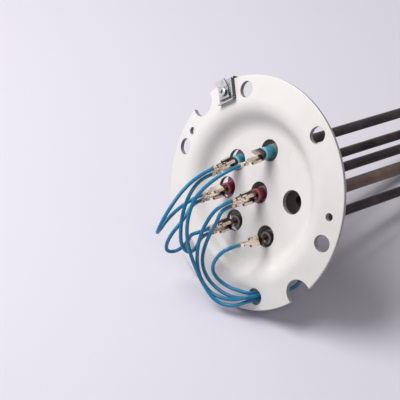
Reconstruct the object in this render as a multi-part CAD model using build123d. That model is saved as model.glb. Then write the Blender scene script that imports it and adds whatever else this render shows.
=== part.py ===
from build123d import *
import math
import os

# Flanged electric heating element: a dished white flange carries three U-shaped heater rods
# and a thermostat pocket. Millimetres. The Y axis is the flange axis, the rods run towards
# +Y, the terminals face -Y, +Z is up. The origin is the centre of the bolt circle, inside the
# sheet's thickness there. The rods pass loosely through the flange and lean in its holes.

CLEAR = 0.3
FIT = 0.05

# Flange
FLANGE_RADIUS = 90.0
SHEET = 3.5
CONE_DROP = 4.6
CREST_RADIUS = 64.0
FLOOR_RADIUS = 53.0
RECESS_DEPTH = 12.2
CREST_BEND = 14.0
FLOOR_BEND = 12.0
RIM_ROUND = 0.8
RIM_REAR = 4.0
BOLT_INSET = 11.0
BOLT_CIRCLE = FLANGE_RADIUS - BOLT_INSET
BOLT_HOLE = 6.5
BOLT_COUNT = 6
VENT_HOLE = 3.0
VENT_ANGLES = (15.0, 169.5)
NOTCH_RADIUS = 10.8
NOTCH_INSET = 2.5
NOTCH_CENTRE = FLANGE_RADIUS - NOTCH_INSET
NOTCH_ANGLES = (-31.0, 154.0)
TERMINAL_HOLE = 8.5
POCKET_HOLE = 9.25
HOLE_RING = 34.0
LEG_ANGLES = {
    "t1": 159.5,
    "t2": 98.5,
    "t3": 200.5,
    "t5": 247.0,
    "t6": 308.0,
    "pocket": 15.5,
}
RODS = {
    "upper": ("t1", "t2"),
    "middle": ("t3", "t4"),
    "lower": ("t5", "t6"),
    "pocket": ("pocket",),
}

# Places along Y that the flange gives
CONE_SLOPE = CONE_DROP / (FLANGE_RADIUS - CREST_RADIUS)
RIM_FRONT = RIM_REAR - SHEET * math.hypot(1.0, CONE_SLOPE)
CREST_FRONT = RIM_FRONT - CONE_DROP
FLOOR_FRONT = CREST_FRONT + RECESS_DEPTH
FLOOR_REAR = FLOOR_FRONT + SHEET

# Heater rods, their end pieces and the pocket. They are laid out square to the flange and
# then moved together: leaned and swung in degrees, and shifted to one side of the holes.
ROD_LEAN = 13.3
ROD_SWING = 1.1
ROD_SHIFT = 1.3
ROD_RADIUS = 4.0
ROD_BORE = 2.6
ROD_BORE_DEPTH = 5.0
ROD_REACH = 253.0
SLEEVE_RADIUS = 5.4
SLEEVE_LIP = 0.8
SLEEVE_LENGTH = 7.0
BEAD_RADIUS = 6.2
BEAD_LENGTH = 4.6
BEAD_PROUD = 1.0
BEAD_DISH_RADIUS = 3.6
BEAD_DISH_DEPTH = 1.6
BEAD_SPIGOT = 2.3
BEAD_SPIGOT_LENGTH = 3.0
POCKET_RADIUS = 5.0
POCKET_BORE = 4.2
POCKET_REACH = 204.0

BEAD_FRONT = FLOOR_FRONT - BEAD_PROUD
BEAD_REAR = BEAD_FRONT + BEAD_LENGTH
ROD_FRONT = BEAD_REAR + SLEEVE_LIP
BEND_RADIUS = HOLE_RING / 2.0
BEND_START = ROD_REACH - BEND_RADIUS - ROD_RADIUS
POCKET_FRONT = FLOOR_REAR + 3.0

# Carrier disc behind the flange and its three studs
CARRIER_RADIUS = 50.0
CARRIER_THICK = 2.5
CARRIER_FRONT = 25.0
STUD_RADIUS = 2.5
STUD_RING = 43.0
STUD_ANGLES = (127.0, 223.0, 340.0)
CUT_OVERRUN = 20.0

# Terminals
PIN_RADIUS = 1.25
PIN_BORE = 1.6
PIN_LENGTH = 5.0
TAB_WIDTH = 6.3
TAB_THICK = 0.8
TAB_LENGTH = 9.0
WEB_THICK = 0.9
ARM_RISE = 3.2
ARM_DROOP = {
    ("t1", "upper"): 9.0,
    ("t1", "lower"): 5.0,
    ("t2", "upper"): 0.0,
    ("t2", "lower"): 4.0,
    ("t3", "upper"): 5.0,
    ("t3", "lower"): 1.0,
    ("t4", "upper"): 4.0,
    ("t4", "lower"): 0.0,
    ("t5", "upper"): 4.0,
    ("t5", "lower"): 0.0,
    ("t6", "single"): -5.0,
}
SINGLE_ROLL = -50.0
WEB_REACH = 6.4
WEB_FRONT = BEAD_FRONT - WEB_REACH

# Push-on receptacles, measured from the root of the tab
PLUG_START = 1.6
PLUG_BODY = 8.6
PLUG_WIDTH = 7.9
PLUG_HEIGHT = 3.0
PLUG_SLOT_HEIGHT = 1.1
PLUG_SEAM = 1.8
PLUG_NECK_WIDTH = 4.2
PLUG_NECK = 3.0
PLUG_STRIP = 0.9
CRIMP_RADIUS = 1.75
CRIMP_LENGTH = 3.6
STRAND_RADIUS = 0.9
STRAND_GAP = 1.8
GRIP_RADIUS = 1.95
GRIP_LENGTH = 3.0
PLUG_END = PLUG_START + PLUG_BODY + PLUG_NECK + CRIMP_LENGTH + STRAND_GAP + GRIP_LENGTH

# Wires
WIRE_RADIUS = 1.45
BEND_SHARE = 0.45
BUNDLE_STEP = 1.8
PASS_ANGLE = 300.0
COIL_RADIUS = BOLT_CIRCLE - 7.0
COIL_STEP = 4.4
FERRULE_RADIUS = 1.6
FERRULE_COLLAR = 6.0
FERRULE_TIP_RADIUS = 0.9
FERRULE_TIP = 8.0

# Earth clip on the rim
CLIP_ANGLE = 134.5
CLIP_WIDTH = 17.0
CLIP_SHEET = 1.2
CLIP_FRONT_LEG = 17.0
CLIP_REAR_LEG = 12.0
CLIP_LIP = 3.0
SADDLE_WIDTH = 9.0
SADDLE_LENGTH = 10.5
SADDLE_HEIGHT = 3.2
SCREW_RADIUS = 3.4
SCREW_HEIGHT = 2.2
SCREW_SHANK = 1.6


def on_ring(radius, degrees, y=0.0):
    angle = math.radians(degrees)
    return Vector(radius * math.cos(angle), y, radius * math.sin(angle))


def rod(radius, start, end):
    """Solid cylinder between two points."""
    start = Vector(*start)
    along = Vector(*end) - start
    disc = Plane(origin=start, z_dir=along) * Circle(radius)
    return extrude(disc, along.length)


def along_y(radius, place, y0, y1):
    return rod(radius, (place.X, y0, place.Z), (place.X, y1, place.Z))


def label(shape, name):
    shape.label = name
    export_step(shape, f"parts/{name}.step")
    print(name, round(shape.volume, 1))
    return shape


def flange_front_line():
    points = [
        (0.0, FLOOR_FRONT),
        (FLOOR_RADIUS, FLOOR_FRONT),
        (CREST_RADIUS, CREST_FRONT),
        (FLANGE_RADIUS, RIM_FRONT),
    ]
    return points, [FLOOR_BEND, CREST_BEND]


def shifted_line(points, distance):
    """The same open line moved sideways, corners kept sharp."""
    moved = []
    for i, (x, y) in enumerate(points):
        before = points[max(i - 1, 0)]
        here = points[i]
        after = points[min(i + 1, len(points) - 1)]
        normals = []
        for a, b in ((before, here), (here, after)):
            if a != b:
                length = math.dist(a, b)
                normals.append((-(b[1] - a[1]) / length, (b[0] - a[0]) / length))
        nx = sum(n[0] for n in normals) / len(normals)
        ny = sum(n[1] for n in normals) / len(normals)
        scale = distance / (nx * nx + ny * ny)
        moved.append((x + nx * scale, y + ny * scale))
    return moved


def flange_plate():
    front, bends = flange_front_line()
    rear = shifted_line(front, SHEET)
    rear_bends = [bends[0] + SHEET, bends[1] - SHEET]
    with BuildSketch(Plane.XY) as section:
        with BuildLine():
            FilletPolyline(*front, radius=bends)
            FilletPolyline(*rear, radius=rear_bends)
            Line(front[0], rear[0])
            Line(front[-1], rear[-1])
        make_face()
    plate = revolve(section.sketch, Axis.Y)
    rim = plate.edges().filter_by(GeomType.CIRCLE).sort_by(lambda e: e.radius)[-2:]
    plate = fillet(rim, RIM_ROUND)
    y0 = CREST_FRONT - 1.0
    y1 = FLOOR_REAR + 1.0
    for i in range(BOLT_COUNT):
        plate -= along_y(BOLT_HOLE, on_ring(BOLT_CIRCLE, i * 360.0 / BOLT_COUNT), y0, y1)
    for degrees in VENT_ANGLES:
        plate -= along_y(VENT_HOLE, on_ring(BOLT_CIRCLE, degrees), y0, y1)
    for name, degrees in LEG_ANGLES.items():
        hole = POCKET_HOLE if name == "pocket" else TERMINAL_HOLE
        plate -= along_y(hole, on_ring(HOLE_RING, degrees), y0, y1)
    plate -= along_y(TERMINAL_HOLE, Vector(0, 0, 0), y0, y1)
    for degrees in NOTCH_ANGLES:
        plate -= along_y(NOTCH_RADIUS, on_ring(NOTCH_CENTRE, degrees), y0, y1)
    return plate


def leg_place(name):
    """Axis of a leg before it leans, set so that it then crosses the floor at its hole."""
    if name not in LEG_ANGLES:
        return Vector(0, 0, 0)
    hole = on_ring(HOLE_RING, LEG_ANGLES[name])
    return Vector(hole.X, 0, hole.Z * math.cos(math.radians(ROD_LEAN)))


def lean(names):
    """Leans a rod laid out square to the flange, its ends kept level with the floor."""
    pivot = (FLOOR_FRONT + FLOOR_REAR) / 2
    height = sum(leg_place(name).Z for name in names) / len(names)
    slide = height * math.tan(math.radians(ROD_LEAN))
    turn = Rot(ROD_LEAN, 0, ROD_SWING)
    return Pos(ROD_SHIFT, pivot, 0) * turn * Pos(0, slide - pivot, 0)


def rod_of(name):
    """The legs that share a rod with this one."""
    return next(legs for legs in RODS.values() if name in legs)


def heater_rod(legs):
    """Two straight legs joined by a half-circle bend, a bore in each leg end."""
    first, second = legs
    a = leg_place(first)
    b = leg_place(second)
    middle = (a + b) / 2
    out = (b - a).normalized()
    leg_a = along_y(ROD_RADIUS, a, ROD_FRONT, BEND_START)
    leg_b = along_y(ROD_RADIUS, b, ROD_FRONT, BEND_START)
    half = (b - a).length / 2
    top = middle + Vector(0, BEND_START + half, 0)
    start = a + Vector(0, BEND_START, 0)
    stop = b + Vector(0, BEND_START, 0)
    path = ThreePointArc(start, top, stop)
    profile = Plane(origin=start, x_dir=out, z_dir=(0, 1, 0)) * Circle(ROD_RADIUS)
    shape = leg_a + sweep(profile, path=path) + leg_b
    for place in (a, b):
        shape -= along_y(ROD_BORE, place, ROD_FRONT - 1.0, ROD_FRONT + ROD_BORE_DEPTH)
    return lean(legs) * shape


def end_sleeve(name):
    place = leg_place(name)
    shape = along_y(SLEEVE_RADIUS, place, BEAD_REAR, BEAD_REAR + SLEEVE_LENGTH)
    shape -= along_y(ROD_RADIUS + FIT, place, ROD_FRONT, BEAD_REAR + SLEEVE_LENGTH + 1.0)
    shape -= along_y(ROD_BORE, place, BEAD_REAR - 1.0, ROD_FRONT)
    return lean(rod_of(name)) * shape


def insulator(name):
    place = leg_place(name)
    head = along_y(BEAD_RADIUS, place, BEAD_FRONT, BEAD_REAR)
    head = fillet(head.edges().filter_by(GeomType.CIRCLE).sort_by(Axis.Y)[0], 0.7)
    spigot = along_y(BEAD_SPIGOT, place, BEAD_REAR, BEAD_REAR + BEAD_SPIGOT_LENGTH)
    shape = head + spigot
    shape -= along_y(BEAD_DISH_RADIUS, place, BEAD_FRONT - 1.0, BEAD_FRONT + BEAD_DISH_DEPTH)
    shape -= along_y(PIN_BORE, place, BEAD_FRONT, BEAD_REAR + BEAD_SPIGOT_LENGTH + 1.0)
    return lean(rod_of(name)) * shape


def arm_plane(name, arm):
    """Frame of one tab: z along the tab, x across it, y its thickness. Origin at its root."""
    place = leg_place(name)
    droop = math.radians(ARM_DROOP[name, arm])
    rise = {"upper": ARM_RISE, "lower": -ARM_RISE, "single": 0.0}[arm]
    forward = Vector(0, -math.cos(droop), -math.sin(droop))
    origin = Vector(place.X, WEB_FRONT, place.Z + rise)
    plane = Plane(origin=origin, x_dir=(1, 0, 0), z_dir=forward)
    if arm == "single":
        plane = Plane(plane.location * Rot(0, 0, SINGLE_ROLL))
    return Plane(lean(rod_of(name)) * plane.location)


def tab_blade(name, arm):
    half = TAB_WIDTH / 2
    outline = Polyline(
        (-half, -WEB_THICK),
        (half, -WEB_THICK),
        (half, TAB_LENGTH - 1.5),
        (half - 1.2, TAB_LENGTH),
        (1.2 - half, TAB_LENGTH),
        (-half, TAB_LENGTH - 1.5),
        close=True,
    )
    blade = extrude(Plane.XZ * make_face(outline), TAB_THICK / 2, both=True)
    blade -= rod(0.8, (0, -1.0, TAB_LENGTH - 3.6), (0, 1.0, TAB_LENGTH - 3.6))
    return arm_plane(name, arm).location * blade


def terminal_tab(name, arms):
    """Pin through the bead, a seat in its dish, a web and one or two blades."""
    place = leg_place(name)
    seat = BEAD_FRONT + BEAD_DISH_DEPTH
    shape = along_y(PIN_RADIUS, place, WEB_FRONT + WEB_THICK / 2, seat + PIN_LENGTH)
    shape += along_y(BEAD_DISH_RADIUS - CLEAR, place, seat - 0.6, seat)
    low = -ARM_RISE - TAB_THICK if "lower" in arms else -TAB_WIDTH / 2
    high = ARM_RISE + TAB_THICK if "upper" in arms else TAB_WIDTH / 2
    web = Pos(place.X, WEB_FRONT + WEB_THICK / 2, place.Z + (low + high) / 2)
    shape += web * Box(TAB_WIDTH, WEB_THICK, high - low)
    shape = lean(rod_of(name)) * shape
    for arm in arms:
        shape += tab_blade(name, arm)
    return shape


def receptacle():
    """Push-on receptacle along +Z, the blade's underside resting on the slot floor."""
    body = Rectangle(PLUG_WIDTH, PLUG_HEIGHT)
    body = fillet(body.vertices(), PLUG_HEIGHT / 2 - 0.2)
    slot = Pos(0, (PLUG_SLOT_HEIGHT - TAB_THICK) / 2) * Rectangle(
        TAB_WIDTH + 2 * CLEAR, PLUG_SLOT_HEIGHT
    )
    seam = Pos(0, PLUG_HEIGHT / 2) * Rectangle(PLUG_SEAM, PLUG_HEIGHT)
    shape = Pos(0, 0, PLUG_START) * extrude(body - slot - seam, PLUG_BODY)
    z = PLUG_START + PLUG_BODY
    floor_y = -PLUG_HEIGHT / 2 + PLUG_STRIP / 2
    outline = Polyline(
        (-PLUG_WIDTH / 2 + 1.3, z),
        (PLUG_WIDTH / 2 - 1.3, z),
        (PLUG_NECK_WIDTH / 2, z + 1.2),
        (CRIMP_RADIUS, z + PLUG_NECK + 0.5),
        (-CRIMP_RADIUS, z + PLUG_NECK + 0.5),
        (-PLUG_NECK_WIDTH / 2, z + 1.2),
        close=True,
    )
    neck = Plane.XZ * make_face(outline)
    shape += Pos(0, floor_y + PLUG_STRIP / 2, 0) * extrude(neck, PLUG_STRIP)
    z += PLUG_NECK
    shape += rod(CRIMP_RADIUS, (0, 0, z), (0, 0, z + CRIMP_LENGTH))
    shape += rod(STRAND_RADIUS, (0, 0, z - 0.8), (0, 0, z + CRIMP_LENGTH + STRAND_GAP + 0.5))
    z += CRIMP_LENGTH + STRAND_GAP
    shape += rod(GRIP_RADIUS, (0, 0, z), (0, 0, z + GRIP_LENGTH))
    strip = Pos(0, floor_y, z - STRAND_GAP / 2) * Box(1.6, PLUG_STRIP, STRAND_GAP + 1.0)
    return shape + strip


def connector(name, arm):
    return arm_plane(name, arm).location * receptacle()


def wire_end(name, arm, run):
    """Where the wire leaves a receptacle, and the point that ends its first straight run."""
    plane = arm_plane(name, arm)
    return [
        tuple(plane.origin + plane.z_dir * PLUG_END),
        tuple(plane.origin + plane.z_dir * (PLUG_END + run)),
    ]


def bundle_pass(across, up, y0, y1):
    centre = on_ring(BOLT_CIRCLE, PASS_ANGLE)
    x = centre.X + across * BUNDLE_STEP
    z = centre.Z + up * BUNDLE_STEP
    return [(x, y0, z), (x, y1, z)]


def coil_behind(radius, y):
    """Points of a lead laid round behind the flange."""
    turns = ((-76, 0), (-100, 2), (-124, 2), (-148, 0), (-168, -2))
    return [tuple(on_ring(radius, degrees, y + lift)) for degrees, lift in turns]


def cord(name, points):
    """Round wire along straight runs joined by tangent arcs."""
    points = [Vector(*p) for p in points]
    runs = [(b - a).length for a, b in zip(points, points[1:])]
    radii = []
    for i in range(1, len(points) - 1):
        before = (points[i] - points[i - 1]).normalized()
        after = (points[i + 1] - points[i]).normalized()
        turn = math.acos(before.dot(after))
        share = BEND_SHARE * min(runs[i - 1], runs[i])
        radii.append(share / math.tan(turn / 2))
    path = FilletPolyline(*[tuple(p) for p in points], radius=radii)
    profile = Plane(origin=points[0], z_dir=points[1] - points[0]) * Circle(WIRE_RADIUS)
    shape = sweep(profile, path=path)
    print(name, "radii", [round(r, 1) for r in radii])
    print(name, "length", round(path.length, 1), "of volume",
          round(shape.volume / (path.length * math.pi * WIRE_RADIUS ** 2), 4))
    return shape


def ferrule(points):
    last = Vector(*points[-1])
    along = (last - Vector(*points[-2])).normalized()
    neck = last + along * FERRULE_COLLAR
    shape = rod(FERRULE_RADIUS, last, neck)
    return shape + rod(FERRULE_TIP_RADIUS, neck, neck + along * FERRULE_TIP)


def pocket():
    place = leg_place("pocket")
    shape = along_y(POCKET_RADIUS, place, POCKET_FRONT, POCKET_REACH)
    end = shape.edges().filter_by(GeomType.CIRCLE).sort_by(Axis.Y)[-1]
    shape = fillet(end, 2.0)
    shape -= along_y(POCKET_BORE, place, POCKET_FRONT - 1.0, POCKET_REACH - 2.0)
    return lean(RODS["pocket"]) * shape


def carrier():
    """Disc level with the flange, bored along the leaning rods and the pocket."""
    rear = CARRIER_FRONT + CARRIER_THICK
    shape = along_y(CARRIER_RADIUS, Vector(0, 0, 0), CARRIER_FRONT, rear)
    y0 = CARRIER_FRONT - CUT_OVERRUN
    y1 = rear + CUT_OVERRUN
    for legs in RODS.values():
        radius = POCKET_RADIUS if "pocket" in legs else ROD_RADIUS
        for name in legs:
            place = leg_place(name)
            bore = along_y(radius + FIT, place, y0, y1)
            shape -= lean(legs) * bore
    return shape


def carrier_studs():
    studs = []
    for degrees in STUD_ANGLES:
        place = on_ring(STUD_RING, degrees)
        studs.append(along_y(STUD_RADIUS, place, FLOOR_REAR, CARRIER_FRONT))
    return Compound(children=studs)


def clip_frame():
    """Frame on the rim: x along the rim, y inwards up the cone, z out of the front face."""
    edge = on_ring(FLANGE_RADIUS, CLIP_ANGLE, RIM_FRONT)
    radial = on_ring(1.0, CLIP_ANGLE)
    tangent = on_ring(1.0, CLIP_ANGLE + 90.0)
    lean = math.atan(CONE_SLOPE)
    normal = radial * math.sin(lean) - Vector(0, math.cos(lean), 0)
    return Plane(origin=edge, x_dir=tangent, z_dir=normal)


def earth_clip():
    under = -SHEET - CLEAR
    outside = -CLEAR - CLIP_SHEET
    bends = FilletPolyline(
        (CLIP_REAR_LEG, under - CLIP_SHEET / 2),
        (outside + CLIP_SHEET / 2, under - CLIP_SHEET / 2),
        (outside + CLIP_SHEET / 2, FIT + CLIP_SHEET / 2),
        (CLIP_FRONT_LEG, FIT + CLIP_SHEET / 2),
        (CLIP_FRONT_LEG + 1.0, FIT + CLIP_SHEET / 2 + CLIP_LIP),
        radius=1.0,
    )
    strip = trace(bends, CLIP_SHEET)
    band = extrude(Plane.YZ * strip, CLIP_WIDTH / 2, both=True)
    wall = Box(CLIP_SHEET, CLIP_FRONT_LEG - 2, CLIP_LIP, align=(Align.MAX, Align.MIN, Align.MIN))
    band += Pos(-CLIP_WIDTH / 2 + CLIP_SHEET, 0.5, FIT + CLIP_SHEET / 2) * wall
    hole = rod(SCREW_SHANK + FIT, (0, 0, -1.0), (0, 0, 4.0))
    band -= Pos(0, CLIP_FRONT_LEG - SADDLE_LENGTH / 2 - 1.6, 0) * hole
    return clip_frame().location * band


def earth_saddle():
    """Bridge under the screw head, standing on its two side walls."""
    base = FIT + CLIP_SHEET
    outer = Pos(0, base + SADDLE_HEIGHT / 2) * Rectangle(SADDLE_WIDTH, SADDLE_HEIGHT)
    outer = fillet(outer.vertices().sort_by(Axis.Y)[-2:], 1.0)
    inner = Pos(0, base + SADDLE_HEIGHT / 2 - CLIP_SHEET) * Rectangle(
        SADDLE_WIDTH - 2 * CLIP_SHEET, SADDLE_HEIGHT
    )
    arch = extrude(Plane.XZ * (outer - inner), SADDLE_LENGTH / 2, both=True)
    arch -= rod(SCREW_SHANK + CLEAR, (0, 0, 0), (0, 0, 9.0))
    place = Pos(0, CLIP_FRONT_LEG - SADDLE_LENGTH / 2 - 1.6, 0)
    return clip_frame().location * (place * arch)


def earth_screw():
    seat = FIT + CLIP_SHEET + SADDLE_HEIGHT
    head = rod(SCREW_RADIUS, (0, 0, seat), (0, 0, seat + SCREW_HEIGHT))
    top = head.edges().filter_by(GeomType.CIRCLE).sort_by(Axis.Z)[-1]
    head = fillet(top, 0.9)
    shape = head + rod(SCREW_SHANK, (0, 0, FIT), (0, 0, seat))
    for turn in (0, 90):
        slot = Pos(0, 0, seat + SCREW_HEIGHT) * Rot(0, 0, turn) * Box(3.6, 0.9, 2.4)
        shape -= slot
    place = Pos(0, CLIP_FRONT_LEG - SADDLE_LENGTH / 2 - 1.6, 0)
    return clip_frame().location * (place * shape)


TERMINALS = {
    "t1": ("upper", "lower"),
    "t2": ("upper", "lower"),
    "t3": ("upper", "lower"),
    "t4": ("upper", "lower"),
    "t5": ("upper", "lower"),
    "t6": ("single",),
}

CONNECTORS = (
    ("t1", "upper"),
    ("t1", "lower"),
    ("t2", "lower"),
    ("t3", "upper"),
    ("t3", "lower"),
    ("t4", "upper"),
    ("t4", "lower"),
    ("t5", "upper"),
    ("t5", "lower"),
    ("t6", "single"),
)

JUMPERS = {
    "jumper_upper": (
        wire_end("t1", "upper", 12.0),
        [(-28.5, -43.8, -11.1), (-26.1, -55.1, -30.1), (-29, -54.7, -48.1),
         (-37.3, -44.4, -53.3), (-39.6, -35.5, -40.5)],
        wire_end("t3", "upper", 13.0),
    ),
    "jumper_lower": (
        wire_end("t3", "lower", 8.0),
        [(-26.7, -32.6, -35.2), (-27.3, -42.2, -52.1), (-30.4, -37.1, -66.7),
         (-27.7, -26, -65.7), (-20.2, -27, -52), (-16.6, -31.5, -44.1)],
        wire_end("t5", "upper", 8.0),
    ),
    "jumper_long": (
        wire_end("t1", "lower", 9.0),
        [(-26.7, -36.7, -11.4), (-23.5, -41.2, -27.9), (-21.5, -37.6, -45.6),
         (-20.8, -32, -56.5), (-15.4, -28, -60.3), (-10.3, -27, -53.5)],
        wire_end("t5", "lower", 6.5),
    ),
}

LEADS = {
    "lead_1": (
        wire_end("t2", "lower", 11.0),
        [(-11.7, -39.4, 1.4), (-14.4, -45.1, -14.1), (-13.4, -43.4, -34.1),
         (-10.5, -36.9, -50.6), (-3.6, -28.4, -65.9), (6.2, -21, -78.3),
         (17.1, -15.1, -85.8), (29.9, -9.4, -82.7)],
        bundle_pass(1, -1, -8.0, 18.0),
        coil_behind(COIL_RADIUS, 33.0),
    ),
    "lead_2": (
        wire_end("t4", "upper", 9.0),
        [(-3.8, -31.9, -19), (-5.6, -33.9, -37.3), (-6.3, -28.5, -57.3), (-3.4, -21, -73.7),
         (6.1, -14.6, -82.7), (18.2, -12.7, -81.7), (31.3, -10.8, -75.7)],
        bundle_pass(1, 1, -11.0, 14.0),
        [(51, 30, -56), (41, 42, -49), (19, 46, -52), (-7, 46, -56), (-31, 44, -50),
         (-49, 42, -34)],
    ),
    "lead_3": (
        wire_end("t4", "lower", 9.0),
        [(2.8, -30.5, -23.5), (-4, -26.4, -42.4), (-6.9, -20.7, -62.2), (-1, -13.4, -75.6),
         (13.5, -9.5, -79.2), (27.5, -7.5, -76.5)],
        bundle_pass(-1, -1, -7.0, 13.0),
        coil_behind(COIL_RADIUS, 28.0),
    ),
    "lead_4": (
        wire_end("t6", "single", 10.0),
        [(17.5, -32.7, -42.3), (10.1, -26.9, -56.5), (8.1, -16.8, -67.9),
         (17.9, -9.8, -71.9), (27.5, -8, -69.5)],
        bundle_pass(-1, 1, -7.0, 13.0),
        coil_behind(COIL_RADIUS - COIL_STEP, 28.0),
    ),
}


def main():
    os.makedirs("parts", exist_ok=True)
    label(flange_plate(), "flange_plate")
    for name in ("upper", "middle", "lower"):
        label(heater_rod(RODS[name]), f"element_{name}")
    label(pocket(), "thermostat_pocket")
    label(carrier(), "element_carrier")
    label(carrier_studs(), "carrier_studs")
    for name, arms in TERMINALS.items():
        label(end_sleeve(name), f"end_sleeve_{name}")
        label(insulator(name), f"insulator_{name}")
        label(terminal_tab(name, arms), f"terminal_tab_{name}")
    for name, arm in CONNECTORS:
        label(connector(name, arm), f"connector_{name}_{arm}")
    for name, (start, middle, end) in JUMPERS.items():
        label(cord(name, start + middle + end[::-1]), name)
    for name, (start, middle, through, tail) in LEADS.items():
        route = start + middle + through + tail
        label(cord(name, route), name)
        label(ferrule(route), f"{name}_ferrule")
    label(earth_clip(), "earth_clip")
    label(earth_saddle(), "earth_saddle")
    label(earth_screw(), "earth_screw")


main()
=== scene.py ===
import math

import bmesh
import bpy
from mathutils import Matrix, Quaternion, Vector


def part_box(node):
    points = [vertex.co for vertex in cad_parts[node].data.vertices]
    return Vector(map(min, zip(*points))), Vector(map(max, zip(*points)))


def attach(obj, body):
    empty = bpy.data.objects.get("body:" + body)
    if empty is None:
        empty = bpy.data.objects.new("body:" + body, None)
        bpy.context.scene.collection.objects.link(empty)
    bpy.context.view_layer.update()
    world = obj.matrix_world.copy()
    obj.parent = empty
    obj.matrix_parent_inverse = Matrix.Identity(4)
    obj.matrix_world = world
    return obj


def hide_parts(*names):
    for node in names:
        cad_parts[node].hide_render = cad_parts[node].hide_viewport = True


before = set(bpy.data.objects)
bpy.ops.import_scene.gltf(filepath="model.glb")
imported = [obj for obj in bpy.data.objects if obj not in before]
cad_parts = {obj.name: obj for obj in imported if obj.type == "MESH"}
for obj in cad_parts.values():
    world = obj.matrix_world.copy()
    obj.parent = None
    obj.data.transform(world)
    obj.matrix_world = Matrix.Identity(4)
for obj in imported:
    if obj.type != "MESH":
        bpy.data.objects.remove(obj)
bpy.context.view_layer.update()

bl_info = {
    "name": "Flanged Heating Element",
    "version": (1, 0, 0),
    "blender": (4, 5, 0),
    "location": "View3D > Sidebar > Heater",
    "description": "Dished enamelled flange with U-shaped heater rods, terminals and blue leads",
    "category": "Object",
}

BODY = "root"
MM = 0.001

# Courses of the wires in millimetres, control points from one end to the other.
ROUTES = {
    "jumper_upper": (
        (-30.1, -18, 5.2), (-29.8, -29.1, 0.6), (-28.5, -43.8, -11.1), (-26.1, -55.1, -30.1),
        (-29, -54.7, -48.1), (-37.3, -44.4, -53.3), (-39.6, -35.5, -40.5), (-29.7, -31.9, -21.6),
        (-29.9, -19.6, -17.5),
    ),
    "jumper_lower": (
        (-29.9, -18.6, -22.3), (-29.8, -26.3, -24.3), (-26.7, -32.6, -35.2), (-27.3, -42.2, -52.1),
        (-30.4, -37.1, -66.7), (-27.7, -26, -65.7), (-20.2, -27, -52), (-16.6, -31.5, -44.1),
        (-11.1, -27.8, -39), (-11.3, -20.2, -36.6),
    ),
    "jumper_long": (
        (-30.1, -17, 0.3), (-29.9, -25.6, -2.5), (-26.7, -36.7, -11.4), (-23.5, -41.2, -27.9),
        (-21.5, -37.6, -45.6), (-20.8, -32, -56.5), (-15.4, -28, -60.3), (-10.3, -27, -53.5),
        (-11.1, -25.5, -42.9), (-11.3, -19.1, -41.4),
    ),
    "lead_1": (
        (-3.2, -21.5, 21.4), (-3, -32, 18.1), (-11.7, -39.4, 1.4), (-14.4, -45.1, -14.1),
        (-13.4, -43.4, -34.1), (-10.5, -36.9, -50.6), (-3.6, -28.4, -65.9), (6.2, -21, -78.3),
        (17.1, -15.1, -85.8), (29.9, -9.4, -82.7), (41.3, -8, -70.2), (41.3, 18, -70.2),
        (17.4, 33, -69.9), (-12.5, 35, -70.9), (-40.3, 35, -59.7), (-61.1, 33, -38.2), (-70.4, 31, -15),
    ),
    "lead_2": (
        (1.9, -21.8, -5.7), (2.1, -30.4, -8.4), (-3.8, -31.9, -19), (-5.6, -33.9, -37.3),
        (-6.3, -28.5, -57.3), (-3.4, -21, -73.7), (6.1, -14.6, -82.7), (18.2, -12.7, -81.7),
        (31.3, -10.8, -75.7), (41.3, -11, -66.6), (41.3, 14, -66.6), (51, 30, -56), (41, 42, -49),
        (19, 46, -52), (-7, 46, -56), (-31, 44, -50), (-49, 42, -34),
    ),
    "lead_3": (
        (1.9, -20.7, -10.5), (2.1, -29.5, -12.6), (2.8, -30.5, -23.5), (-4, -26.4, -42.4),
        (-6.9, -20.7, -62.2), (-1, -13.4, -75.6), (13.5, -9.5, -79.2), (27.5, -7.5, -76.5),
        (37.7, -7, -70.2), (37.7, 13, -70.2), (17.4, 28, -69.9), (-12.5, 30, -70.9), (-40.3, 30, -59.7),
        (-61.1, 28, -38.2), (-70.4, 26, -15),
    ),
    "lead_4": (
        (22.9, -20.6, -32), (23.1, -30.5, -33.5), (17.5, -32.7, -42.3), (10.1, -26.9, -56.5),
        (8.1, -16.8, -67.9), (17.9, -9.8, -71.9), (27.5, -8, -69.5), (37.7, -7, -66.6),
        (37.7, 13, -66.6), (16.4, 28, -65.6), (-11.7, 30, -66.6), (-37.8, 30, -56), (-57.3, 28, -35.8),
        (-66.1, 26, -14.1),
    ),
}

# The earth clip on the rim: its angle, the rim's radius and front face in millimetres, and the
# lean of the dished plate there.
CLIP_ANGLE = math.radians(134.5)
RIM_RADIUS = 90.0
RIM_FRONT = 0.446
CONE_LEAN = math.atan(4.6 / 26.0)

# The clamp strap in the clip's frame, in millimetres: its bent line as (inwards, out of the
# rim's face), the places of its sides along the rim, and its sheet.
CLAMP_LINE = (
    (0.8, 7.4), (1.4, 7.0), (5.6, 4.6), (6.2, 4.45), (6.6, 4.0), (7.0, 3.85), (14.4, 3.85),
    (15.0, 3.6), (15.3, 3.0), (15.6, 1.5),
)
CLAMP_SIDES = (-4.5, -4.3, 5.3, 5.5)
CLAMP_SHEET = 0.9

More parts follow.
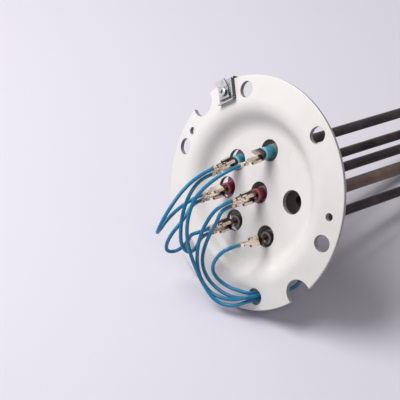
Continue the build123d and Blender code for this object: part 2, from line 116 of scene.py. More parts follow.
# A receptacle, in millimetres. Places along it count from the root of its terminal arm to
# PLUG_END, where the wire leaves. A run gives (place, widening) at each station of its sheet, and
# the strands' middle is (height, place). Shade is painted dark on its metal in the rolled edges and
# in the crimps' seam: each gives (how near the middle, how high) that begins, and the margin widens
# their runs.
PLUG_END = 21.6
PLUG_MIDDLE = 0.6 * PLUG_END
PLUG_NECK = (10.4, 13.0)
PLUG_SHEET = 0.34
CURL_RUN = ((1.6, 0.97), (1.9, 1.0), (9.8, 1.0), (10.2, 0.96))
NECK_RUN = ((9.9, 2.5), (11.2, 1.9), (12.4, 1.25), (13.3, 1.15))
CRIMP_RUN = ((13.1, 1.12), (13.5, 1.0), (16.3, 1.0), (16.7, 1.1))
BRIDGE_RUN = ((16.5, 1.0), (18.9, 1.0))
GRIP_RUN = ((18.6, 1.06), (18.9, 1.0), (21.3, 1.0), (PLUG_END, 1.05))
STRANDS_RADIUS = 0.95
STRANDS_LENGTH = 6.4
STRANDS_MIDDLE = (-0.1, 15.6)
CURL_DARK = (1.7, -0.7)
SEAM_DARK = (0.45, 0.1)
DARK_MARGIN = 0.1

# Beads by material slot: the colour of their patches and of their lighter front rim, the share of
# the bead stand that they show, and their rod ends.
BEADS = {
    "teal_bead": ((0.014, 0.15, 0.21), (0.22, 0.56, 0.65), 1.0, ("t1", "t2")),
    "red_bead": ((0.10, 0.008, 0.016), (0.36, 0.08, 0.10), 0.6, ("t3", "t4")),
    "dark_bead": ((0.07, 0.05, 0.045), (0.16, 0.13, 0.12), 0.0, ("t5", "t6")),
}

# Two faces that meet at a greater angle than this keep a crisp edge.
CRISP = math.radians(32)


def node_names(start):
    """Names of the carried-over solids that begin alike."""
    return sorted(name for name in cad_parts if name.startswith(start))


def coordinates(tree, kind="Object"):
    """The piece's own coordinates, or its normal."""
    node = tree.nodes.new("ShaderNodeTexCoord")
    return node.outputs[kind]


def colour(values):
    """A colour with full opacity."""
    return (values[0], values[1], values[2], 1.0)


def new_group(name, inputs, outputs):
    """An empty node group with named sockets, its input node and its output node."""
    group = bpy.data.node_groups.new(name, "ShaderNodeTree")
    for way, sockets in (("INPUT", inputs), ("OUTPUT", outputs)):
        for label, kind in sockets.items():
            group.interface.new_socket(label, in_out=way, socket_type=f"NodeSocket{kind}")
    return group, group.nodes.new("NodeGroupInput"), group.nodes.new("NodeGroupOutput")


def colour_mix(group):
    """Sockets of a new colour mix: its factor, first colour, second colour and result."""
    mix = group.nodes.new("ShaderNodeMix")
    mix.data_type = "RGBA"
    return mix.inputs[0], mix.inputs[6], mix.inputs[7], mix.outputs[2]


def mottle_group():
    """Soft clouds between two colours, and the same clouds as a mask."""
    name = "Mottled finish"
    if name in bpy.data.node_groups:
        return bpy.data.node_groups[name]
    group, enter, leave = new_group(
        name,
        {"Vector": "Vector", "Scale": "Float", "Threshold": "Float", "Softness": "Float",
         "Base": "Color", "Patch": "Color"},
        {"Color": "Color", "Mask": "Float"})
    noise = group.nodes.new("ShaderNodeTexNoise")
    noise.inputs["Detail"].default_value = 5.0
    noise.inputs["Roughness"].default_value = 0.6
    top = group.nodes.new("ShaderNodeMath")
    top.operation = "ADD"
    ramp = group.nodes.new("ShaderNodeMapRange")
    ramp.interpolation_type = "SMOOTHSTEP"
    factor, first, second, result = colour_mix(group)
    join = group.links.new
    join(enter.outputs["Vector"], noise.inputs["Vector"])
    join(enter.outputs["Scale"], noise.inputs["Scale"])
    join(enter.outputs["Threshold"], top.inputs[0])
    join(enter.outputs["Softness"], top.inputs[1])
    join(noise.outputs["Fac"], ramp.inputs["Value"])
    join(enter.outputs["Threshold"], ramp.inputs["From Min"])
    join(top.outputs[0], ramp.inputs["From Max"])
    join(ramp.outputs["Result"], factor)
    join(enter.outputs["Base"], first)
    join(enter.outputs["Patch"], second)
    join(result, leave.inputs["Color"])
    join(ramp.outputs["Result"], leave.inputs["Mask"])
    return group


def edge_shade_group():
    """Painted shade where a sheet's surface turns away from the flange axis: on its edges and hole
    walls.
    """
    name = "Cut sheet edge"
    if name in bpy.data.node_groups:
        return bpy.data.node_groups[name]
    group, enter, leave = new_group(name, {"Normal": "Vector", "Reach": "Float"},
                                    {"Mask": "Float"})
    split = group.nodes.new("ShaderNodeSeparateXYZ")
    size = group.nodes.new("ShaderNodeMath")
    size.operation = "ABSOLUTE"
    ramp = group.nodes.new("ShaderNodeMapRange")
    ramp.inputs["From Min"].default_value = 0.1
    ramp.inputs["To Min"].default_value = 1.0
    ramp.inputs["To Max"].default_value = 0.0
    join = group.links.new
    join(enter.outputs["Normal"], split.inputs[0])
    join(split.outputs["Y"], size.inputs[0])
    join(size.outputs[0], ramp.inputs["Value"])
    join(enter.outputs["Reach"], ramp.inputs["From Max"])
    join(ramp.outputs["Result"], leave.inputs["Mask"])
    return group


def blend_group():
    """A second colour laid over the first one by a mask: lighter bead rims, painted shade on edges,
    walls and receptacle seams, scuffs, heat tint.
    """
    name = "Blend by mask"
    if name in bpy.data.node_groups:
        return bpy.data.node_groups[name]
    group, enter, leave = new_group(name, {"Base": "Color", "Over": "Color", "Mask": "Float"},
                                    {"Color": "Color"})
    factor, first, second, result = colour_mix(group)
    join = group.links.new
    join(enter.outputs["Mask"], factor)
    join(enter.outputs["Base"], first)
    join(enter.outputs["Over"], second)
    join(result, leave.inputs["Color"])
    return group


def grain_group():
    """Fine bumps on the surface."""
    name = "Fine grain"
    if name in bpy.data.node_groups:
        return bpy.data.node_groups[name]
    group, enter, leave = new_group(
        name, {"Vector": "Vector", "Scale": "Float", "Strength": "Float", "Distance": "Float"},
        {"Normal": "Vector"})
    noise = group.nodes.new("ShaderNodeTexNoise")
    noise.inputs["Detail"].default_value = 4.0
    bump = group.nodes.new("ShaderNodeBump")
    join = group.links.new
    join(enter.outputs["Vector"], noise.inputs["Vector"])
    join(enter.outputs["Scale"], noise.inputs["Scale"])
    join(enter.outputs["Strength"], bump.inputs["Strength"])
    join(enter.outputs["Distance"], bump.inputs["Distance"])
    join(noise.outputs["Fac"], bump.inputs["Height"])
    join(bump.outputs["Normal"], leave.inputs["Normal"])
    return group


def place_group(tree, group, **values):
    """A node group placed in a material, with its inputs' values."""
    node = tree.nodes.new("ShaderNodeGroup")
    node.node_tree = group
    for label, value in values.items():
        node.inputs[label].default_value = value
    return node


def lay_over(material, over, mask):
    """Lay a colour over a material's own one where a mask is high."""
    tree = material.node_tree
    target = tree.nodes["Principled BSDF"].inputs["Base Color"]
    before = target.links[0].from_socket
    blend = place_group(tree, blend_group(), Over=colour(over))
    tree.links.new(before, blend.inputs["Base"])
    tree.links.new(mask, blend.inputs["Mask"])
    tree.links.new(blend.outputs["Color"], target)


def new_material(name, roughness, metallic=0.0, coat=0.0, specular=0.5):
    """A new material, its node tree and its shader."""
    material = bpy.data.materials.new(name)
    material.use_nodes = True
    shader = material.node_tree.nodes["Principled BSDF"]
    shader.inputs["Roughness"].default_value = roughness
    shader.inputs["Metallic"].default_value = metallic
    shader.inputs["Coat Weight"].default_value = coat
    shader.inputs["Specular IOR Level"].default_value = specular
    return material, material.node_tree, shader


def grain(tree, shader, scale, strength, distance):
    """Give the surface its fine bumps."""
    bumps = place_group(tree, grain_group(), Scale=scale, Strength=strength, Distance=distance)
    tree.links.new(coordinates(tree), bumps.inputs["Vector"])
    tree.links.new(bumps.outputs["Normal"], shader.inputs["Normal"])


def rough_where(tree, shader, mask, roughness, masked_roughness):
    """Let the roughness change with a mask."""
    rough = tree.nodes.new("ShaderNodeMapRange")
    rough.inputs["To Min"].default_value = roughness
    rough.inputs["To Max"].default_value = masked_roughness
    tree.links.new(mask, rough.inputs["Value"])
    tree.links.new(rough.outputs["Result"], shader.inputs["Roughness"])


def mottled(name, base, patch, scale, threshold, softness, roughness, patch_roughness,
            metallic=0.0, coat=0.0, bump=(900.0, 0.15, 0.0002)):
    """A clouded finish. The bump holds the grain's scale, strength and distance."""
    material, tree, shader = new_material(name, roughness, metallic, coat)
    clouds = place_group(tree, mottle_group(), Scale=scale, Threshold=threshold,
                         Softness=softness, Base=colour(base), Patch=colour(patch))
    tree.links.new(coordinates(tree), clouds.inputs["Vector"])
    tree.links.new(clouds.outputs["Color"], shader.inputs["Base Color"])
    rough_where(tree, shader, clouds.outputs["Mask"], roughness, patch_roughness)
    grain(tree, shader, *bump)
    return material


def edge_shade_mask(tree, reach):
    """Mask of the painted shade on edges and walls, in a material's own tree."""
    edge = place_group(tree, edge_shade_group(), Reach=reach)
    tree.links.new(coordinates(tree, "Normal"), edge.inputs["Normal"])
    return edge.outputs["Mask"]


def enamel_material(settings):
    """White enamel: faint clouds, pin specks, rubbed streaks, and grey painted shade on the rim edge
    and hole walls.
    """
    gloss = 0.34
    material, tree, shader = new_material("White enamel", gloss, coat=0.06)
    clouds = place_group(tree, mottle_group(), Scale=14.0, Threshold=0.42, Softness=0.3,
                         Base=colour(settings.enamel), Patch=colour(settings.enamel_shade))
    tree.links.new(coordinates(tree), clouds.inputs["Vector"])
    tree.links.new(clouds.outputs["Color"], shader.inputs["Base Color"])
    specks = place_group(tree, mottle_group(), Scale=420.0, Threshold=0.735, Softness=0.02)
    tree.links.new(coordinates(tree), specks.inputs["Vector"])
    lay_over(material, settings.speck, specks.outputs["Mask"])
    streak = tree.nodes.new("ShaderNodeMapping")
    streak.inputs["Rotation"].default_value = (0.0, math.radians(35), 0.0)
    streak.inputs["Scale"].default_value = (240.0, 60.0, 18.0)
    tree.links.new(coordinates(tree), streak.inputs["Vector"])
    scuffs = place_group(tree, mottle_group(), Scale=1.0, Threshold=0.66, Softness=0.07)
    tree.links.new(streak.outputs["Vector"], scuffs.inputs["Vector"])
    lay_over(material, settings.scuff, scuffs.outputs["Mask"])
    # Painted shade: grey on the rim edge and hole walls, wherever the surface turns away from the
    # flange axis.
    painted_edge_shade = edge_shade_mask(tree, reach=0.55)
    lay_over(material, settings.painted_edge_shade, painted_edge_shade)
    rough_where(tree, shader, painted_edge_shade, gloss, 0.5)
    grain(tree, shader, scale=160.0, strength=0.06, distance=0.0004)
    return material


def dress(names, material):
    """Give carried-over solids their finish."""
    for name in names:
        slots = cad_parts[name].data.materials
        slots.clear()
        slots.append(material)


def wire_curve(name, thickness):
    """One smooth open spline with the wire's thickness."""
    curve = bpy.data.curves.new(f"{name}_wire", "CURVE")
    curve.dimensions = "3D"
    curve.resolution_u = 10
    curve.bevel_depth = thickness / 2
    curve.bevel_resolution = 6
    curve.use_fill_caps = True
    points = ROUTES[name]
    spline = curve.splines.new("NURBS")
    spline.points.add(len(points) - 1)
    for point, place in zip(spline.points, points):
        point.co = (place[0] * MM, place[1] * MM, place[2] * MM, 1.0)
    spline.order_u = 3
    spline.use_endpoint_u = True
    wire = bpy.data.objects.new(f"{name}_wire", curve)
    bpy.context.scene.collection.objects.link(wire)
    return wire


def lean_turn(sizes):
    """Turn of the leaning rods against the flange."""
    return Matrix.Rotation(sizes.rod_lean, 4, "X") @ Matrix.Rotation(sizes.rod_swing, 4, "Z")


def straight_box(name, turn):
    """Least and greatest corner of a carried-over solid in the leaning rods' own frame."""
    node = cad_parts[name]
    back = turn.inverted() @ node.matrix_world
    points = [back @ vertex.co for vertex in node.data.vertices]
    low = Vector([min(point[i] for point in points) for i in range(3)])
    high = Vector([max(point[i] for point in points) for i in range(3)])
    return low, high


def put_in_order(work):
    """Number a working mesh by place, because a spin leaves it in another order each run."""
    for parts, key in (
        (work.verts, lambda vertex: tuple(vertex.co)),
        (work.edges, lambda edge: sorted(vertex.index for vertex in edge.verts)),
        (work.faces, lambda face: sorted(vertex.index for vertex in face.verts)),
    ):
        for index, part in enumerate(sorted(parts, key=key)):
            part.index = index
        parts.sort()
        parts.index_update()


def piece_from(name, work, node, material):
    """Turn a working mesh into a finished piece that takes the place of a solid."""
    bmesh.ops.recalc_face_normals(work, faces=work.faces)
    put_in_order(work)
    for face in work.faces:
        face.smooth = True
    for edge in work.edges:
        if len(edge.link_faces) == 2 and edge.calc_face_angle(0.0) > CRISP:
            edge.smooth = False
    mesh = bpy.data.meshes.new(name)
    work.to_mesh(mesh)
    work.free()
    piece = bpy.data.objects.new(name, mesh)
    bpy.context.scene.collection.objects.link(piece)
    mesh.materials.append(material)
    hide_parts(node)
    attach(piece, BODY)
    return piece


def lathe(outline, axis_point, turn, steps=56):
    """Closed outline of (radius, distance along the axis, rim tint) spun about a rod's axis."""
    work = bmesh.new()
    wear = work.verts.layers.float.new("wear")
    ring = []
    for radius, along, overlay in outline:
        vertex = work.verts.new((radius, along, 0.0))
        vertex[wear] = overlay
        ring.append(vertex)
    edges = [work.edges.new((a, b)) for a, b in zip(ring, ring[1:] + ring[:1])]
    bmesh.ops.spin(work, geom=ring + edges, cent=(0, 0, 0), axis=(0, 1, 0),
                   angle=2 * math.pi, steps=steps, use_merge=True)
    place = turn @ Matrix.Translation(axis_point)
    bmesh.ops.transform(work, matrix=place, verts=work.verts)
    return work


def bead_outline(sizes, length):
    """Bead from its dished front to its rear, with a rounded, lighter front rim."""
    radius = sizes.bead_radius
    waist = 0.965 * radius
    rear = 0.9 * radius
    dish = 0.62 * radius
    pin = 0.34 * radius
    floor = 0.0014
    soft = 0.0006
    return [
        (pin, floor, 0.0),
        (dish - soft, floor, 0.0),
        (dish, floor - soft, 0.2),
        (dish + soft / 2, soft / 2, 0.8),
        (dish + soft, 0.0, 1.0),
        (radius - soft, 0.0, 1.0),
        (radius - soft / 3, soft / 3, 1.0),
        (radius, soft, 0.7),
        (radius, 2 * soft, 0.0),
        (waist, 4 * soft, 0.0),
        (waist, length - soft, 0.0),
        (rear, length, 0.0),
        (pin, length, 0.0),
    ]


def show_rim_tint_and_shade(material, overlay):
    """Another colour where the piece's rim tint and shade attribute is high: the lighter rim of a bead,
    the painted shade of a receptacle.
    """
    wear = material.node_tree.nodes.new("ShaderNodeAttribute")
    wear.attribute_name = "wear"
    lay_over(material, overlay, wear.outputs["Fac"])


def clip_place():
    """Frame on the rim: x along the rim, y inwards, z out of the front face."""
    radial = Vector((math.cos(CLIP_ANGLE), 0.0, math.sin(CLIP_ANGLE)))
    tangent = Vector((-math.sin(CLIP_ANGLE), 0.0, math.cos(CLIP_ANGLE)))
    out = radial * math.sin(CONE_LEAN) - Vector((0.0, math.cos(CONE_LEAN), 0.0))
    place = Matrix((tangent, out.cross(tangent), out)).transposed().to_4x4()
    place.translation = radial * RIM_RADIUS * MM + Vector((0.0, RIM_FRONT * MM, 0.0))
    return place


def heat_tint(name, clean, burnt, stretch):
    """Metal that darkens towards the rods, over a stretch along the flange axis."""
    material = mottled(name, clean, burnt, scale=110.0, threshold=0.55, softness=0.2,
                       roughness=0.33, patch_roughness=0.5, metallic=0.8)
    tree = material.node_tree
    split = tree.nodes.new("ShaderNodeSeparateXYZ")
    ramp = tree.nodes.new("ShaderNodeMapRange")
    ramp.inputs["From Min"].default_value = stretch[0]
    ramp.inputs["From Max"].default_value = stretch[1]
    tree.links.new(coordinates(tree), split.inputs[0])
    tree.links.new(split.outputs["Y"], ramp.inputs["Value"])
    lay_over(material, burnt, ramp.outputs["Result"])
    return material


def folded_strip(work, stations, thickness):
    """Thin sheet through stations, each a bent line of (x, y, z), one behind the other.

    A negative thickness lays the sheet on the other side of its lines.
    """
    grid = bmesh.ops.create_grid(work, x_segments=len(stations[0]) - 1,
                                 y_segments=len(stations) - 1, size=1.0)["verts"]
    for vertex, point in zip(grid, [point for station in stations for point in station]):
        vertex.co = point
    work.normal_update()
    faces = list(dict.fromkeys(face for vertex in grid for face in vertex.link_faces))
    bmesh.ops.solidify(work, geom=faces, thickness=thickness)


def both_sides(half):
    """Mirror the right half of a bent line, given from the seam to the middle of its back."""
    return half + [(-x, y) for x, y in reversed(half[:-1])]


def arc(x, y, radius, start, end, steps):
    """Points of an arc about a centre, angles in degrees."""
    angles = [math.radians(start + (end - start) * i / steps) for i in range(steps + 1)]
    return [(x + radius * math.cos(a), y + radius * math.sin(a)) for a in angles]


def run_through(line, stops):
    """The same bent line at several (place along the axis, widening) stops."""
    return [[(x * wide * MM, y * MM, z * MM) for x, y in line] for z, wide in stops]


def receptacle_mesh():
    """Push-on receptacle with rolled edges, neck, strand crimp and insulation grip."""
    work = bmesh.new()
    # Half outlines across it, from the seam round to the middle of the back.
    curl = arc(1.95, 0.35, radius=0.78, start=215, end=90, steps=6)
    curl += arc(2.5, 0.0, radius=1.3, start=78, end=-90, steps=9) + [(0.0, -1.3)]
    neck = [(1.0, -0.55), (1.02, -1.3), (0.0, -1.34)]
    wings = [(0.08, 0.25), (0.3, 0.95), (0.85, 1.2), (1.32, 0.75), (1.48, 0.0), (1.2, -0.85),
             (0.7, -1.3), (0.0, -1.4)]
    bridge = [(0.8, -1.36), (0.0, -1.4)]
    grip = arc(0.0, 0.0, radius=1.78, start=72, end=-90, steps=9)
    for half, run, side in ((curl, CURL_RUN, -1), (neck, NECK_RUN, -1), (wings, CRIMP_RUN, 1),
                            (bridge, BRIDGE_RUN, -1), (grip, GRIP_RUN, 1)):
        folded_strip(work, run_through(both_sides(half), run), side * PLUG_SHEET * MM)
    strands = bmesh.ops.create_cone(
        work, cap_ends=True, segments=16, radius1=STRANDS_RADIUS * MM,
        radius2=STRANDS_RADIUS * MM, depth=STRANDS_LENGTH * MM)
    y, z = STRANDS_MIDDLE
    bmesh.ops.translate(work, vec=(0, y * MM, z * MM), verts=strands["verts"])
    # Painted shade in the rolled edges, down the crimps' seam and on the cut ends.
    wear = work.verts.layers.float.new("wear")
    for vertex in work.verts:
        vertex[wear] = receptacle_painted_shade(abs(vertex.co.x) / MM, vertex.co.y / MM, vertex.co.z / MM)
    return work


def receptacle_painted_shade(x, y, z):
    """How much painted shade a spot gets: in the rolled edges, down the crimps' seam and on the cut
    ends.
    """
    curl_start = CURL_RUN[0][0] + DARK_MARGIN
    curl_end = CURL_RUN[-1][0] + DARK_MARGIN
    crimp_start = CRIMP_RUN[0][0] - DARK_MARGIN
    if z < curl_end and x < CURL_DARK[0] and y > CURL_DARK[1]:
        return 1.0
    if z > crimp_start and x < SEAM_DARK[0] and y > SEAM_DARK[1]:
        return 1.0
    if z < curl_start or curl_end - 2 * DARK_MARGIN < z < curl_end:
        return 0.75
    return 0.0


def connector_place(name):
    """Where a receptacle sits: along its wire's first straight, turned as the solid it covers."""
    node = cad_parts[name]
    points = [node.matrix_world @ vertex.co for vertex in node.data.vertices]
    centre = sum(points, Vector()) / len(points)
    ends = []
    for route in ROUTES.values():
        for near, far in ((route[0], route[1]), (route[-1], route[-2])):
            out = (Vector(far) - Vector(near)).normalized()
            start = Vector(near) * MM - out * PLUG_END * MM
            gap = (start + out * PLUG_MIDDLE * MM - centre).length
            ends.append((gap, start, out))
    start, out = min(ends, key=lambda end: end[0])[1:]
    side = out.orthogonal().normalized()
    up = out.cross(side)
    across = [(point - start).dot(side) for point in points]
    above = [(point - start).dot(up) for point in points]
    mean_across = sum(across) / len(points)
    mean_above = sum(above) / len(points)
    spread_across = sum((a - mean_across) ** 2 for a in across)
    spread_above = sum((b - mean_above) ** 2 for b in above)
    shared = sum((a - mean_across) * (b - mean_above) for a, b in zip(across, above))
    turn = math.atan2(2 * shared, spread_across - spread_above) / 2
    wide = side * math.cos(turn) + up * math.sin(turn)
    thick = out.cross(wide)
    low, high = PLUG_NECK
    neck = [point for point in points if low * MM < (point - start).dot(out) < high * MM]
    if sum((point - start).dot(thick) for point in neck) > 0:
        wide, thick = -wide, -thick
    place = Matrix((wide, thick, out)).transposed().to_4x4()
    place.translation = start
    return place


def table_height(y, slope):
    """Height of the table under a point of the flange axis, in metres."""
    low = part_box("flange_plate")[0]
    return low.z + (y - low.y) * math.tan(slope)


def area_lamp(scene, name, place, aim, size, power):
    """A round soft lamp turned to its aim."""
    data = bpy.data.lights.new(name, "AREA")
    data.shape = "DISK"
    data.size = size
    data.energy = power
    lamp = bpy.data.objects.new(name, data)
    scene.collection.objects.link(lamp)
    lamp.location = place
    lamp.rotation_mode = "QUATERNION"
    lamp.rotation_quaternion = (Vector(aim) - Vector(place)).to_track_quat("-Z", "Y")


class HeaterColours(bpy.types.PropertyGroup):
    """Main colours of the finishes"""
    enamel: bpy.props.FloatVectorProperty(
        name="Enamel", description="Main colour of the flange", subtype="COLOR",
        default=(0.80, 0.765, 0.737), min=0.0, max=1.0)
    enamel_shade: bpy.props.FloatVectorProperty(
        name="Enamel clouds", description="Slightly darker clouds in the enamel",
        subtype="COLOR", default=(0.745, 0.71, 0.68), min=0.0, max=1.0)
    speck: bpy.props.FloatVectorProperty(
        name="Specks", description="Pin specks in the enamel", subtype="COLOR",
        default=(0.36, 0.31, 0.27), min=0.0, max=1.0)
    scuff: bpy.props.FloatVectorProperty(
        name="Scuffs", description="Faint rubbed streaks on the enamel", subtype="COLOR",
        default=(0.73, 0.69, 0.65), min=0.0, max=1.0)
    # Colour of the painted shade on the rim edge and hole walls.
    painted_edge_shade: bpy.props.FloatVectorProperty(
        name="Painted edge shade", description="Rim edge and hole walls", subtype="COLOR",
        default=(0.30, 0.285, 0.275), min=0.0, max=1.0)
    wire: bpy.props.FloatVectorProperty(
        name="Wire", description="Blue insulation", subtype="COLOR",
        default=(0.002, 0.195, 0.385), min=0.0, max=1.0)
    wire_dark: bpy.props.FloatVectorProperty(
        name="Wire, darker", description="Darker stretches of the insulation",
        subtype="COLOR", default=(0.002, 0.105, 0.225), min=0.0, max=1.0)
    teal_bead: bpy.props.FloatVectorProperty(
        name="Teal beads", description="Beads of the two upper rod ends",
        subtype="COLOR", default=(0.022, 0.25, 0.33), min=0.0, max=1.0)
    red_bead: bpy.props.FloatVectorProperty(
        name="Red beads", description="Beads of the left and the middle rod ends",
        subtype="COLOR", default=(0.20, 0.012, 0.03), min=0.0, max=1.0)
    dark_bead: bpy.props.FloatVectorProperty(
        name="Dark beads", description="Beads of the two lower rod ends",
        subtype="COLOR", default=(0.035, 0.028, 0.028), min=0.0, max=1.0)
    brass: bpy.props.FloatVectorProperty(
        name="Tinned brass", description="Clean metal of the receptacles", subtype="COLOR",
        default=(0.80, 0.69, 0.58), min=0.0, max=1.0)
    sheath: bpy.props.FloatVectorProperty(
        name="Rod sheath", description="Dark oxide on the heater rods", subtype="COLOR",
        default=(0.024, 0.020, 0.021), min=0.0, max=1.0)
    zinc: bpy.props.FloatVectorProperty(
        name="Zinc plate", description="Bright zinc of the earth clip", subtype="COLOR",
        default=(0.74, 0.76, 0.74), min=0.0, max=1.0)
    sky: bpy.props.FloatVectorProperty(
        name="Sky", description="Colour of the soft light all round", subtype="COLOR",
        default=(0.97, 0.95, 1.0), min=0.0, max=1.0)
    backdrop: bpy.props.FloatVectorProperty(
        name="Backdrop", description="Pale background beyond the table", subtype="COLOR",
        default=(0.72, 0.70, 0.76), min=0.0, max=1.0)
    table: bpy.props.FloatVectorProperty(
        name="Table", description="Pale lilac table top", subtype="COLOR",
        default=(0.702, 0.68, 0.745), min=0.0, max=1.0)


class HeaterSizes(bpy.types.PropertyGroup):
    """Sizes of the wires, rods and beads"""
    wire_thickness: bpy.props.FloatProperty(
        name="Wire thickness", description="Outer diameter of the insulation",
        default=0.0029, unit="LENGTH")
    rod_lean: bpy.props.FloatProperty(
        name="Rod lean", description="Lean of the rods from the flange axis",
        default=math.radians(13.3), subtype="ANGLE")
    rod_swing: bpy.props.FloatProperty(
        name="Rod swing", description="Sideways turn of the rods",
        default=math.radians(1.1), subtype="ANGLE")
    bead_radius: bpy.props.FloatProperty(
        name="Bead radius", description="Radius of an insulating bead",
        default=0.0050, unit="LENGTH")
    bead_stand: bpy.props.FloatProperty(
        name="Bead stand", description="How far the teal beads stand out of their solids",
        default=0.0046, unit="LENGTH")


class HeaterView(bpy.types.PropertyGroup):
    """The camera, the light and the slope of the table"""
    eye: bpy.props.FloatVectorProperty(
        name="Eye", description="Place of the camera", subtype="XYZ", unit="LENGTH",
        default=(0.6558, -0.8108, 0.3656))
    azimuth: bpy.props.FloatProperty(
        name="Azimuth", description="Turn of the view to the left of the flange axis",
        default=math.radians(40.91), subtype="ANGLE")
    elevation: bpy.props.FloatProperty(
        name="Elevation", description="Downward tilt of the view",
        default=math.radians(20.3), subtype="ANGLE")
    roll: bpy.props.FloatProperty(
        name="Roll", description="Turn of the camera about its own axis",
        default=math.radians(19.93), subtype="ANGLE")
    lens: bpy.props.FloatProperty(
        name="Lens", description="Focal length in millimetres", default=130.5)
    table_slope: bpy.props.FloatProperty(
        name="Table slope", description="Slope of the table against the rods",
        default=math.radians(24.7), subtype="ANGLE")
    sky_strength: bpy.props.FloatProperty(
        name="Sky strength", description="Strength of the soft light all round", default=0.265)
    key_power: bpy.props.FloatProperty(
        name="Key lamp", description="Power of the lamp at the left", default=24.5, unit="POWER")
    overhead_power: bpy.props.FloatProperty(
        name="Overhead lamp", description="Power of the lamp above", default=1.2, unit="POWER")


class HEATER_OT_wires(bpy.types.Operator):
    """Make the blue jumpers and leads"""
    bl_idname = "heater.wires"
    bl_label = "Wires"

    def execute(self, context):
        scene = context.scene
        thickness = scene.heater_sizes.wire_thickness
        insulation = mottled("Blue insulation", scene.heater_colours.wire,
                             scene.heater_colours.wire_dark, scale=60.0, threshold=0.45,
                             softness=0.3, roughness=0.28, patch_roughness=0.38)
        for name in ROUTES:
            wire = wire_curve(name, thickness)
            wire.data.materials.append(insulation)
            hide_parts(name)
            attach(wire, BODY)
        return {"FINISHED"}


class HEATER_OT_flange(bpy.types.Operator):
    """Finish the enamelled flange"""
    bl_idname = "heater.flange"
    bl_label = "Flange"

    def execute(self, context):
        dress(["flange_plate"], enamel_material(context.scene.heater_colours))
        return {"FINISHED"}


class HEATER_OT_rods(bpy.types.Operator):
    """Finish the heater rods, the pocket, the carrier and the sleeves"""
    bl_idname = "heater.rods"
    bl_label = "Rods"

    def execute(self, context):
        sheath = mottled("Oxidised sheath", context.scene.heater_colours.sheath,
                         (0.062, 0.046, 0.040), scale=45.0, threshold=0.45, softness=0.25,
                         roughness=0.34, patch_roughness=0.5, metallic=0.65)
        dress(["element_upper", "element_middle", "element_lower"], sheath)
        pocket = mottled("Brown pocket", (0.095, 0.064, 0.054), (0.18, 0.11, 0.078),
                         scale=38.0, threshold=0.42, softness=0.25, roughness=0.34,
                         patch_roughness=0.5, metallic=0.65)
        dress(["thermostat_pocket"], pocket)
        steel = mottled("Dull steel", (0.32, 0.29, 0.285), (0.19, 0.17, 0.165), scale=50.0,
                        threshold=0.42, softness=0.3, roughness=0.5, patch_roughness=0.65,
                        metallic=0.3)
        dress(["element_carrier", "carrier_studs"] + node_names("end_sleeve"), steel)
        return {"FINISHED"}


class HEATER_OT_beads(bpy.types.Operator):
    """Make the coloured insulating beads"""
    bl_idname = "heater.beads"
    bl_label = "Beads"

    def execute(self, context):
        sizes = context.scene.heater_sizes
        turn = lean_turn(sizes)
        for slot, (patch, rim, stand, ends) in BEADS.items():
            bead = mottled(slot.replace("_", " ").capitalize(),
                           getattr(context.scene.heater_colours, slot), patch, scale=120.0,
                           threshold=0.45, softness=0.25, roughness=0.34, patch_roughness=0.5,
                           coat=0.15)
            show_rim_tint_and_shade(bead, rim)
            for end in ends:
                node = f"insulator_{end}"
                low, high = straight_box(node, turn)
                front = low.y - stand * sizes.bead_stand
                centre = Vector(((low.x + high.x) / 2, front, (low.z + high.z) / 2))
                work = lathe(bead_outline(sizes, high.y - front), centre, turn)
                piece_from(f"bead_{end}", work, node, bead)
        return {"FINISHED"}


class HEATER_OT_terminals(bpy.types.Operator):
    """Make the receptacles, and finish the tabs and ferrules"""
    bl_idname = "heater.terminals"
    bl_label = "Terminals"

    def execute(self, context):
        brass = mottled("Tinned brass", context.scene.heater_colours.brass,
                        (0.36, 0.25, 0.18), scale=130.0, threshold=0.5, softness=0.2,
                        roughness=0.27, patch_roughness=0.45, metallic=0.88,
                        bump=(500.0, 0.1, 0.0001))
        # Painted shade in the receptacles' rolled edges, crimp seam and cut ends.
        show_rim_tint_and_shade(brass, (0.07, 0.042, 0.03))
        for name in node_names("connector"):
            work = receptacle_mesh()
            bmesh.ops.transform(work, matrix=connector_place(name), verts=work.verts)
            piece_from(name.replace("connector", "receptacle"), work, name, brass)
        bronze = heat_tint("Heat-tinted tab", (0.62, 0.53, 0.44), (0.09, 0.055, 0.045),
                           stretch=(-0.0085, -0.005))
        dress(node_names("terminal_tab"), bronze)
        tin = mottled("Tin", (0.62, 0.61, 0.58), (0.45, 0.44, 0.42), scale=160.0, threshold=0.5,
                      softness=0.2, roughness=0.3, patch_roughness=0.4, metallic=0.9)
        dress([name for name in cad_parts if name.endswith("_ferrule")], tin)
        return {"FINISHED"}


class HEATER_OT_earth(bpy.types.Operator):
    """Finish the earth clip and its screw, and make the clamp strap under the screw"""
    bl_idname = "heater.earth"
    bl_label = "Earth clip"

    def execute(self, context):
        zinc = mottled("Zinc plate", context.scene.heater_colours.zinc, (0.36, 0.38, 0.36),
                       scale=150.0, threshold=0.47, softness=0.2, roughness=0.24,
                       patch_roughness=0.4, metallic=0.85)
        # Painted dark reflection and shade on the clip's edges and side walls, where they turn away
        # from the flange axis.
        lay_over(zinc, (0.07, 0.08, 0.075), edge_shade_mask(zinc.node_tree, reach=0.6))
        dress(node_names("earth"), zinc)
        work = bmesh.new()
        stations = [[(x * MM, y * MM, z * MM) for y, z in CLAMP_LINE] for x in CLAMP_SIDES]
        folded_strip(work, stations, -CLAMP_SHEET * MM)
        bmesh.ops.transform(work, matrix=clip_place(), verts=work.verts)
        piece_from("clamp_strap", work, "earth_saddle", zinc)
        return {"FINISHED"}


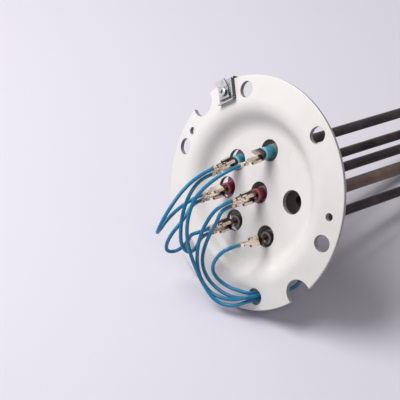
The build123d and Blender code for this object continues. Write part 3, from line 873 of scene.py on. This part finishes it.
class HEATER_OT_stage(bpy.types.Operator):
    """Make the table, the lamps and the camera"""
    bl_idname = "heater.stage"
    bl_label = "Stage"

    def execute(self, context):
        scene = context.scene
        view = scene.heater_view
        mesh = bpy.data.meshes.new("table")
        sheet = bmesh.new()
        bmesh.ops.create_grid(sheet, x_segments=8, y_segments=8, size=3.0)
        tilt = Matrix.Rotation(view.table_slope, 4, "X")
        # The table's middle lies under this point of the flange axis.
        under = 0.004
        rest = Matrix.Translation((0.0, under, table_height(under, view.table_slope)))
        bmesh.ops.transform(sheet, matrix=rest @ tilt, verts=sheet.verts)
        sheet.to_mesh(mesh)
        sheet.free()
        table = bpy.data.objects.new("table", mesh)
        scene.collection.objects.link(table)
        material, tree, shader = new_material("Pale table", 0.6, specular=0.2)
        shader.inputs["Base Color"].default_value = colour(scene.heater_colours.table)
        # Seen from below the table is clear, so that it hides nothing.
        clear = tree.nodes.new("ShaderNodeBsdfTransparent")
        side = tree.nodes.new("ShaderNodeNewGeometry")
        mix = tree.nodes.new("ShaderNodeMixShader")
        out = tree.nodes["Material Output"]
        tree.links.new(side.outputs["Backfacing"], mix.inputs[0])
        tree.links.new(shader.outputs[0], mix.inputs[1])
        tree.links.new(clear.outputs[0], mix.inputs[2])
        tree.links.new(mix.outputs[0], out.inputs["Surface"])
        table.data.materials.append(material)

        world = bpy.data.worlds.new("Soft studio")
        scene.world = world
        world.use_nodes = True
        tree = world.node_tree
        sky = tree.nodes["Background"]
        sky.inputs["Color"].default_value = colour(scene.heater_colours.sky)
        sky.inputs["Strength"].default_value = view.sky_strength
        # The camera and the glossy metal see the backdrop, and the sky lights the rest.
        backdrop = tree.nodes.new("ShaderNodeBackground")
        backdrop.inputs["Color"].default_value = colour(scene.heater_colours.backdrop)
        backdrop.inputs["Strength"].default_value = 1.0
        rays = tree.nodes.new("ShaderNodeLightPath")
        seen = tree.nodes.new("ShaderNodeMath")
        seen.operation = "MAXIMUM"
        tree.links.new(rays.outputs["Is Camera Ray"], seen.inputs[0])
        tree.links.new(rays.outputs["Is Glossy Ray"], seen.inputs[1])
        blend = tree.nodes.new("ShaderNodeMixShader")
        tree.links.new(seen.outputs[0], blend.inputs[0])
        tree.links.new(sky.outputs[0], blend.inputs[1])
        tree.links.new(backdrop.outputs[0], blend.inputs[2])
        tree.links.new(blend.outputs[0], tree.nodes["World Output"].inputs["Surface"])

        area_lamp(scene, "Key lamp", place=(-0.60, -1.02, 0.90), aim=(-0.5, 0.0, -0.1),
                  size=1.1, power=view.key_power)
        area_lamp(scene, "Overhead lamp", place=(0.1, 0.2, 1.4), aim=(0.0, 0.05, 0.0),
                  size=1.0, power=view.overhead_power)

        eye = bpy.data.cameras.new("Camera")
        eye.lens = view.lens
        eye.sensor_width = 36.0
        eye.clip_start = 0.05
        eye.clip_end = 20.0
        camera = bpy.data.objects.new("Camera", eye)
        scene.collection.objects.link(camera)
        camera.location = view.eye
        ahead = Vector((
            -math.sin(view.azimuth) * math.cos(view.elevation),
            math.cos(view.azimuth) * math.cos(view.elevation),
            -math.sin(view.elevation),
        ))
        camera.rotation_mode = "QUATERNION"
        turn = Quaternion((0.0, 0.0, 1.0), view.roll)
        camera.rotation_quaternion = ahead.to_track_quat("-Z", "Y") @ turn
        scene.camera = camera
        scene.view_settings.view_transform = "Standard"
        return {"FINISHED"}


class HEATER_PT_panel(bpy.types.Panel):
    """Lists the steps that make the heating element"""
    bl_idname = "HEATER_PT_panel"
    bl_label = "Heating element"
    bl_space_type = "VIEW_3D"
    bl_region_type = "UI"
    bl_category = "Heater"

    def draw(self, context):
        for group in ("heater_colours", "heater_sizes", "heater_view"):
            block = self.layout.box()
            values = getattr(context.scene, group)
            for key in values.__annotations__:
                block.prop(values, key)
        for step in STEPS:
            self.layout.operator(step.bl_idname)


STEPS = (
    HEATER_OT_stage,
    HEATER_OT_wires,
    HEATER_OT_flange,
    HEATER_OT_rods,
    HEATER_OT_beads,
    HEATER_OT_terminals,
    HEATER_OT_earth,
)

CLASSES = (HeaterColours, HeaterSizes, HeaterView) + STEPS + (HEATER_PT_panel,)


def register():
    for item in CLASSES:
        bpy.utils.register_class(item)
    bpy.types.Scene.heater_colours = bpy.props.PointerProperty(type=HeaterColours)
    bpy.types.Scene.heater_sizes = bpy.props.PointerProperty(type=HeaterSizes)
    bpy.types.Scene.heater_view = bpy.props.PointerProperty(type=HeaterView)


def unregister():
    del bpy.types.Scene.heater_view
    del bpy.types.Scene.heater_sizes
    del bpy.types.Scene.heater_colours
    for item in reversed(CLASSES):
        bpy.utils.unregister_class(item)


def main():
    register()
    bpy.ops.heater.stage()
    bpy.ops.heater.wires()
    bpy.ops.heater.flange()
    bpy.ops.heater.rods()
    bpy.ops.heater.beads()
    bpy.ops.heater.terminals()
    bpy.ops.heater.earth()


if __name__ == "__main__":
    main()
